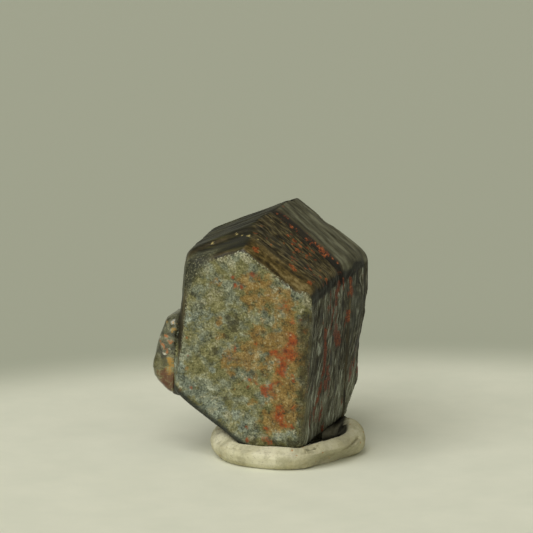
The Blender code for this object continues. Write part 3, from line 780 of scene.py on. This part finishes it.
class Shader:
    """A material's node tree, with one short call for each kind of node."""

    def __init__(self, name):
        self.material = bpy.data.materials.new(name)
        self.material.use_nodes = True
        self.tree = self.material.node_tree
        self.surface = self.tree.nodes["Principled BSDF"]

    def put(self, socket, value):
        if isinstance(value, bpy.types.NodeSocket):
            self.tree.links.new(value, socket)
        elif isinstance(value, tuple) and socket.type == "RGBA" and len(value) == 3:
            socket.default_value = (*value, 1.0)
        else:
            socket.default_value = value

    def set(self, **values):
        for name, value in values.items():
            self.put(self.surface.inputs[name.replace("_", " ")], value)

    def add(self, kind, **values):
        """A new node, some of its inputs given by name."""
        node = self.tree.nodes.new("ShaderNode" + kind)
        for name, value in values.items():
            self.put(node.inputs[name.replace("_", " ")], value)
        return node

    def kept(self, name):
        node = self.add("Attribute")
        node.attribute_name = name
        return node.outputs["Vector"] if name in ("place", "strata") else node.outputs["Fac"]

    def scaled(self, vector, sizes, shifts):
        """A place divided by a length in mm for each axis, and shifted."""
        scale = [1 / size for size in sizes]
        return self.add("Mapping", Vector=vector, Scale=scale, Location=shifts).outputs["Vector"]

    def noise(self, vector, size, detail, roughness=0.6, shift=0.0):
        """Noise with blobs of a size in mm, or one per axis, mostly between 0.35 and 0.65."""
        sizes = size if isinstance(size, tuple) else (size,) * 3
        moved = self.scaled(vector, sizes, (shift, shift * 0.7, -shift))
        node = self.add("TexNoise", Vector=moved, Scale=1.0, Detail=detail, Roughness=roughness)
        return node.outputs["Fac"]

    def dots(self, vector, spacing, radius, shift):
        """Scattered soft dots, 1 at their middles."""
        node = self.add("TexVoronoi", Vector=self.scaled(vector, (spacing,) * 3, (shift,) * 3), Scale=1.0)
        return self.range(node.outputs["Distance"], radius / spacing, 0.4 * radius / spacing)

    def math(self, kind, first, second):
        node = self.add("Math")
        node.operation = kind
        self.put(node.inputs[0], first)
        self.put(node.inputs[1], second)
        return node.outputs[0]

    def times(self, first, second):
        return self.math("MULTIPLY", first, second)

    def plus(self, first, second):
        return self.math("ADD", first, second)

    def blend(self, share, first, second):
        """One number turning into another by a share from 0 to 1."""
        node = self.add("Mix")
        node.data_type = "FLOAT"
        for socket, value in zip((node.inputs[0], node.inputs[2], node.inputs[3]), (share, first, second)):
            self.put(socket, value)
        return node.outputs[0]

    def range(self, value, low, high, to_low=0.0, to_high=1.0):
        """A softly rising number, from the one at low to the one at high."""
        node = self.add("MapRange", Value=value, From_Min=low, From_Max=high, To_Min=to_low, To_Max=to_high)
        node.interpolation_type = "SMOOTHSTEP"
        return node.outputs["Result"]

    def ramp(self, value, *colours, low=0.36, high=0.64):
        """Colours spread evenly over the usual range of a noise."""
        node = self.add("ValToRGB", Fac=value)
        elements = node.color_ramp.elements
        while len(elements) < len(colours):
            elements.new(0.5)
        for index, (element, colour) in enumerate(zip(elements, colours)):
            element.position = low + (high - low) * index / (len(colours) - 1)
            element.color = (*srgb(*colour), 1.0)
        return node.outputs["Color"]

    def mix(self, share, first, second):
        """One colour turning into another by a share from 0 to 1."""
        node = self.add("Mix")
        node.data_type = "RGBA"
        self.put(node.inputs["Factor"], share)
        colours = [socket for socket in node.inputs if socket.type == "RGBA"]
        self.put(colours[0], first)
        self.put(colours[1], second)
        return next(socket for socket in node.outputs if socket.type == "RGBA")

    def bump(self, height, distance, strength):
        node = self.add("Bump", Strength=strength, Distance=distance, Height=height)
        self.set(Normal=node.outputs["Normal"])

    def ragged(self, name, grain, low=0.25, high=0.75):
        """A kept mask whose border is broken up by a grain."""
        spread = self.times(self.math("SUBTRACT", grain, 0.5), 2.4)
        mask = self.kept(name)
        wide = self.times(spread, self.range(mask, 0.02, 0.3))
        return self.range(self.plus(mask, wide), low, high)


def end_face_colour(s, place, fine, medium):
    """The frosted end face: grey-green grain with ochre, blue, dark, pale and rust over it."""
    coarse = s.noise(place, 1.1, 5.0, 0.75)
    patchy = s.noise(place, 0.6, 4.0, 0.6, 51.0)
    grain = s.plus(s.times(coarse, 0.4), s.plus(s.times(patchy, 0.2), s.times(fine, 0.4)))
    colour = s.ramp(grain, (52, 51, 24), (90, 88, 50), (113, 110, 69), (136, 132, 90), (170, 166, 128),
                    low=0.4, high=0.61)
    warm = s.ramp(grain, (64, 46, 12), (104, 76, 27), (129, 98, 43), (147, 119, 62), (174, 152, 104),
                  low=0.4, high=0.61)
    cool = s.ramp(grain, (48, 56, 51), (90, 98, 86), (118, 126, 111), (145, 153, 137), (184, 192, 177),
                  low=0.41, high=0.6)
    dark = s.ramp(fine, (30, 30, 12), (50, 47, 24), (68, 62, 38))
    frost = s.ramp(fine, (96, 94, 66), (136, 132, 100), (162, 158, 128), (204, 200, 172))
    rust = s.ramp(medium, (92, 32, 6), (130, 50, 12), (152, 70, 20), (160, 98, 44))
    colour = s.mix(s.range(s.noise(place, 1.5, 4.0, 0.6, 61.0), 0.44, 0.6, 0.0, 0.6), colour, cool)
    for name, grained, low, high, strength, stain in (
        ("ochre", patchy, 0.15, 0.75, 0.85, warm), ("blue", medium, 0.2, 0.7, 0.8, cool),
        ("dark", medium, 0.25, 0.75, 0.7, dark), ("pale", medium, 0.25, 0.75, 0.7, frost),
        ("rust", fine, 0.2, 0.9, 0.88, rust),
    ):
        colour = s.mix(s.times(s.ragged(name, grained, low, high), strength), colour, stain)
    # Painted glints: scattered pale dots, as sparkles off tiny facets.
    pale_dots = s.times(s.dots(place, 0.45, 0.13, 3.0), s.range(coarse, 0.44, 0.6, 0.05, 0.5))
    colour = s.mix(pale_dots, colour, srgb(178, 174, 140))
    dark_dots = s.times(s.dots(place, 0.45, 0.15, 9.0), s.range(patchy, 0.6, 0.42, 0.05, 0.4))
    colour = s.mix(dark_dots, colour, srgb(42, 40, 20))
    olive = s.ramp(grain, (32, 25, 8), (58, 47, 20), (78, 66, 34), (108, 98, 62), low=0.4, high=0.6)
    colour = s.mix(s.times(s.kept("border"), 0.9), colour, olive)
    speckled = s.ramp(fine, (28, 30, 18), (48, 49, 33), (72, 72, 52), (138, 136, 108), low=0.4, high=0.66)
    return s.mix(s.kept("corner"), colour, speckled)


def side_colour(s, place, strata, fine, medium):
    """The sides: dark grey-brown with fine growth lines, glassy beside the end face. Gives the lines too."""
    lines = s.noise(strata, (2.4, 2.4, 0.16), 4.0, 0.65, 5.0)
    broad = s.noise(strata, (3.0, 3.0, 0.7), 3.0, 0.5, 9.0)
    streaky = s.plus(s.times(lines, 0.65), s.times(broad, 0.35))
    colour = s.ramp(streaky, (20, 17, 6), (40, 34, 15), (58, 51, 27), (84, 75, 47), low=0.4, high=0.6)
    short = s.noise(strata, (0.9, 0.9, 0.15), 2.0, 0.5, 15.0)
    dashes = s.ramp(short, (19, 16, 6), (43, 36, 16), (68, 58, 32), (104, 94, 62), low=0.4, high=0.6)
    colour = s.mix(s.times(s.kept("dashed"), 0.75), colour, dashes)

    wavy = s.noise(strata, (1.6, 1.6, 0.17), 6.0, 0.72, 21.0)
    streaked = s.plus(s.times(wavy, 0.8), s.times(broad, 0.2))
    right = s.ramp(streaked, (10, 8, 1), (31, 27, 13), (60, 57, 39), (93, 92, 75), (144, 149, 135),
                   low=0.42, high=0.6)
    # Painted light: the right face is painted lighter low down, as if lit by the pale floor.
    low_right = s.ramp(streaked, (40, 38, 22), (74, 72, 53), (102, 102, 83), (130, 133, 114), (160, 165, 150),
                       low=0.42, high=0.6)
    right = s.mix(s.kept("low_part"), right, low_right)
    colour = s.mix(s.kept("right_face"), colour, right)
    long = s.noise(strata, (2.0, 2.0, 0.5), 3.0, 0.55, 27.0)
    strip = s.ramp(long, (50, 48, 32), (78, 76, 57), (104, 103, 82))
    colour = s.mix(s.kept("far_strip"), colour, strip)
    patch = s.ramp(medium, (46, 48, 40), (66, 69, 60), (84, 88, 80))
    colour = s.mix(s.times(s.kept("smooth_patch"), 0.7), colour, patch)

    mottled = s.plus(s.times(s.noise(strata, (2.6, 2.6, 0.5), 4.0, 0.6, 3.0), 0.6), s.times(medium, 0.4))
    brown = s.ramp(mottled, (36, 28, 8), (68, 56, 25), (96, 80, 43), (132, 116, 76), low=0.4, high=0.62)
    olive = s.ramp(s.noise(strata, (2.6, 2.6, 0.35), 4.0, 0.6, 3.0), (10, 9, 1), (24, 23, 6), (52, 50, 20))
    colour = s.mix(s.kept("upper_left"), colour, olive)
    colour = s.mix(s.kept("glassy"), colour, s.mix(s.kept("upper_left"), brown, olive))
    # Painted shade: the groove across the upper faces is painted near black, as it lies in shadow.
    colour = s.mix(s.times(s.kept("groove"), 0.85), colour, srgb(24, 21, 10))
    orange = s.ramp(fine, (74, 32, 10), (112, 54, 22), (156, 92, 46))
    deposits = s.times(s.kept("groove"), s.range(s.noise(place, 0.5, 3.0, 0.7, 33.0), 0.54, 0.62))
    colour = s.mix(deposits, colour, orange)
    # Near black for the dark band below the edge over the right face, and painted shade on the sides that
    # look down near the putty.
    colour = s.mix(s.times(s.kept("dark_edge"), 0.97), colour, srgb(9, 8, 1))
    dull = s.ramp(fine, (48, 18, 4), (86, 34, 11), (120, 62, 30))
    stain = s.mix(s.kept("right_face"), orange, dull)
    colour = s.mix(s.times(s.ragged("specks", fine, 0.2, 0.8), 0.88), colour, stain)
    # Painted glints: small pale yellowish specks.
    colour = s.mix(s.times(s.ragged("gold", fine, 0.35, 0.9), 0.8), colour, srgb(186, 168, 108))
    return colour, streaky, streaked


def sapphire_material():
    s = Shader("sapphire")
    place, strata = s.kept("place"), s.kept("strata")
    medium = s.noise(place, 0.4, 4.0, 0.7, 11.0)
    fine = s.noise(place, 0.17, 3.0, 0.75, 23.0)
    end = end_face_colour(s, place, fine, medium)
    side, streaky, streaked = side_colour(s, place, strata, fine, medium)
    back = s.mix(0.5, end, srgb(66, 62, 42))
    side = s.mix(s.times(s.kept("back_end"), 0.8), side, back)
    edge = s.math("MAXIMUM", s.ragged("end_face", fine), s.times(s.kept("border"), 0.8))
    colour = s.mix(s.math("MAXIMUM", edge, s.times(s.kept("corner"), 0.9)), side, end)
    colour = s.mix(s.times(s.kept("low_edge"), 0.85), colour, srgb(26, 33, 31))
    s.set(Base_Color=colour, IOR=1.77, Specular_IOR_Level=0.17)

    matt = s.range(fine, 0.35, 0.65, 0.45, 0.7)
    glossy = s.blend(s.kept("glassy"), s.range(streaky, 0.4, 0.62, 0.36, 0.52), 0.3)
    glossy = s.blend(s.kept("groove"), glossy, 0.85)
    glossy = s.plus(glossy, s.times(s.kept("right_face"), 0.12))
    s.set(Roughness=s.blend(s.kept("end_face"), glossy, matt))
    end_grain = s.times(fine, s.range(s.kept("end_face"), 0, 1, 0.2, 1.0))
    side_grain = s.times(s.blend(s.kept("right_face"), streaky, streaked),
                        s.range(s.kept("end_face"), 0, 1, 0.9, 0.0))
    s.bump(s.plus(end_grain, s.times(side_grain, s.blend(s.kept("glassy"), 1.0, 0.25))), 0.07 * MM, 0.8)
    return s.material


def side_crystal_material():
    s = Shader("clear_sapphire")
    place = s.kept("place")
    medium = s.noise(place, 0.5, 4.0, 0.6, 13.0)
    fine = s.noise(place, 0.16, 3.0, 0.75, 5.0)
    upper = s.ramp(medium, (70, 70, 46), (128, 128, 98), (176, 174, 142))
    lower = s.ramp(medium, (88, 84, 46), (132, 128, 82), (156, 152, 108))
    colour = s.mix(s.kept("lower"), upper, lower)
    # Painted glints, and painted reflections of the main crystal's coloured inside in the orange patches and
    # the yellowish ones high up.
    for name, patch in (
        ("dark", (30, 28, 18)), ("red", (88, 30, 8)), ("orange", (178, 104, 56)),
        ("gold", (176, 132, 52)), ("white", (226, 222, 204)),
    ):
        colour = s.mix(s.times(s.ragged(name, fine, 0.3, 0.9), 0.8), colour, srgb(*patch))
    s.set(Base_Color=colour, Roughness=0.14, IOR=1.77, Specular_IOR_Level=0.35)
    stained = s.math("MAXIMUM", s.math("MAXIMUM", s.kept("gold"), s.kept("orange")),
                     s.math("MAXIMUM", s.kept("red"), s.kept("white")))
    s.set(Transmission_Weight=s.range(stained, 0.2, 0.8, 0.6, 0.05))
    s.bump(s.noise(place, 0.25, 3.0, 0.6, 3.0), 0.04 * MM, 0.5)
    return s.material


def putty_material():
    s = Shader("putty")
    place = s.kept("place")
    coarse = s.noise(place, 2.4, 4.0, 0.6)
    fine = s.noise(place, 0.22, 4.0, 0.7, 9.0)
    colour = s.ramp(coarse, (178, 171, 136), (198, 193, 160), (212, 207, 178))
    colour = s.mix(s.range(fine, 0.44, 0.34, 0.0, 0.4), colour, srgb(118, 110, 80))
    smudges = s.range(s.noise(place, (0.9, 0.9, 1.6), 4.0, 0.7, 17.0), 0.46, 0.62, 0.0, 0.4)
    colour = s.mix(smudges, colour, srgb(142, 138, 112))
    # Painted shade on the ring's side away from the key light.
    colour = s.mix(s.times(s.kept("soiled"), 0.5), colour, srgb(134, 128, 100))
    colour = s.mix(s.times(s.dots(place, 0.9, 0.13, 4.0), 0.7), colour, srgb(164, 108, 52))
    # Painted shade: the crease is painted darker, as it lies in shadow.
    colour = s.mix(s.times(s.kept("crease"), 0.35), colour, srgb(96, 88, 60))
    colour = s.mix(s.times(s.range(s.kept("shaded"), 0.1, 0.8), 0.9), colour, srgb(26, 23, 12))
    s.set(Base_Color=colour, Roughness=0.9, IOR=1.45, Specular_IOR_Level=0.3)
    s.bump(s.plus(fine, s.noise(place, 0.7, 3.0, 0.5, 2.0)), 0.1 * MM, 0.7)
    return s.material


def build_stage():
    """A pale floor that turns to grey-olive far off, all round."""
    mesh = bmesh.new()
    centre = Vector((*FLOOR_CENTRE, -0.02)) * MM
    rows = []
    turns = [math.tau * step / FLOOR_STEPS for step in range(FLOOR_STEPS)]
    ways = [Vector((math.cos(turn), math.sin(turn), 0)) for turn in turns]
    for radius in FLOOR_RINGS:
        rows.append([mesh.verts.new(centre + way * radius * MM) for way in ways])
    middle = mesh.verts.new(centre)
    for step in range(FLOOR_STEPS):
        after = (step + 1) % FLOOR_STEPS
        mesh.faces.new((middle, rows[0][step], rows[0][after]))
        for row, outer in zip(rows, rows[1:]):
            mesh.faces.new((row[step], outer[step], outer[after], row[after]))
    data = bpy.data.meshes.new("floor")
    mesh.to_mesh(data)
    mesh.free()
    floor = add_object("floor", data)
    distance = np.linalg.norm(read_vertices(data)[:, :2] / MM - FLOOR_CENTRE, axis=1)
    far = np.clip((distance - FLOOR_FADE[1]) / FLOOR_DEPTH, 0, 1)
    store(data, away=smooth(distance, *FLOOR_FADE), far=far)
    s = Shader("floor")
    coordinates = s.add("TexCoord").outputs["Object"]
    near = s.ramp(s.noise(coordinates, 6 * MM, 3.0), (216, 217, 198), (223, 223, 204), low=0.3, high=0.7)
    distant = s.mix(s.kept("far"), srgb(*BACKDROP_NEAR), srgb(*BACKDROP_FAR))
    s.set(Base_Color=s.mix(s.kept("away"), near, distant), Roughness=0.7, IOR=1.3)
    data.materials.append(s.material)


def area_light(name, direction, size, energy):
    """A square soft light, its place given by azimuth and elevation as seen from the specimen."""
    azimuth, elevation = (math.radians(value) for value in direction)
    level = math.cos(elevation)
    away = Vector((math.sin(azimuth) * level, -math.cos(azimuth) * level, math.sin(elevation)))
    data = bpy.data.lights.new(name, "AREA")
    data.size = size
    data.energy = energy
    light = add_object(name, data)
    light.location = away * LIGHT_DISTANCE + Vector((0, 0, LIGHT_AIM * MM))
    light.rotation_euler = (-away).to_track_quat("-Z", "Y").to_euler()


def build_light():
    area_light("key", *KEY_LIGHT)
    area_light("fill", *FILL_LIGHT)
    world = bpy.data.worlds.new("room")
    bpy.context.scene.world = world
    world.use_nodes = True
    nodes, links = world.node_tree.nodes, world.node_tree.links
    split = nodes.new("ShaderNodeSeparateXYZ")
    ramp = nodes.new("ShaderNodeValToRGB")
    links.new(nodes.new("ShaderNodeTexCoord").outputs["Generated"], split.inputs[0])
    links.new(split.outputs["Z"], ramp.inputs["Fac"])
    links.new(ramp.outputs["Color"], nodes["Background"].inputs["Color"])
    low, high = ramp.color_ramp.elements
    low.position, low.color = 0.0, (*WORLD_LOW, 1.0)
    high.position, high.color = 0.85, (*WORLD_HIGH, 1.0)
    bpy.context.scene.view_settings.view_transform = "Standard"


def build_camera():
    data = bpy.data.cameras.new("camera")
    data.sensor_width = SENSOR_WIDTH
    data.lens = SENSOR_WIDTH * CAMERA_DISTANCE / VIEW_WIDTH
    data.clip_start, data.clip_end = CLIP_RANGE
    camera = add_object("camera", data)
    forward = np.array((0.0, math.cos(CAMERA_DROP), -math.sin(CAMERA_DROP)))
    upward = np.array((0.0, math.sin(CAMERA_DROP), math.cos(CAMERA_DROP)))
    aim = RING_CENTRE + np.array((AIM_RIGHT, 0.0, 0.0)) + upward * AIM_UP
    camera.location = (aim - forward * CAMERA_DISTANCE) * MM
    camera.rotation_euler = (math.pi / 2 - CAMERA_DROP, 0.0, 0.0)
    bpy.context.scene.camera = camera


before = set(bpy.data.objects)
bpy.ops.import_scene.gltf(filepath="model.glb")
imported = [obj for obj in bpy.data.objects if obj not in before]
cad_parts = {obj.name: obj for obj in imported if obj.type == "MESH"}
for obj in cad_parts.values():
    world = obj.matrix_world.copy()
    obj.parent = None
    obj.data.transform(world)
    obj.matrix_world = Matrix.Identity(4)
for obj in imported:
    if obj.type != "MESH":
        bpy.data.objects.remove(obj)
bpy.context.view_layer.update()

crystal = build_crystal()
crystal.data.materials.append(sapphire_material())
side_crystal = build_side_crystal()
side_crystal.data.materials.append(side_crystal_material())
putty = build_putty(crystal)
putty.data.materials.append(putty_material())

for piece, node, slot in (
    (crystal, "sapphire_crystal", "sapphire"),
    (side_crystal, "sapphire_crystal", "sapphire"),
    (putty, "putty_ring", "putty"),
):
    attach(piece, "root")
    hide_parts(node)

build_stage()
build_light()
build_camera()
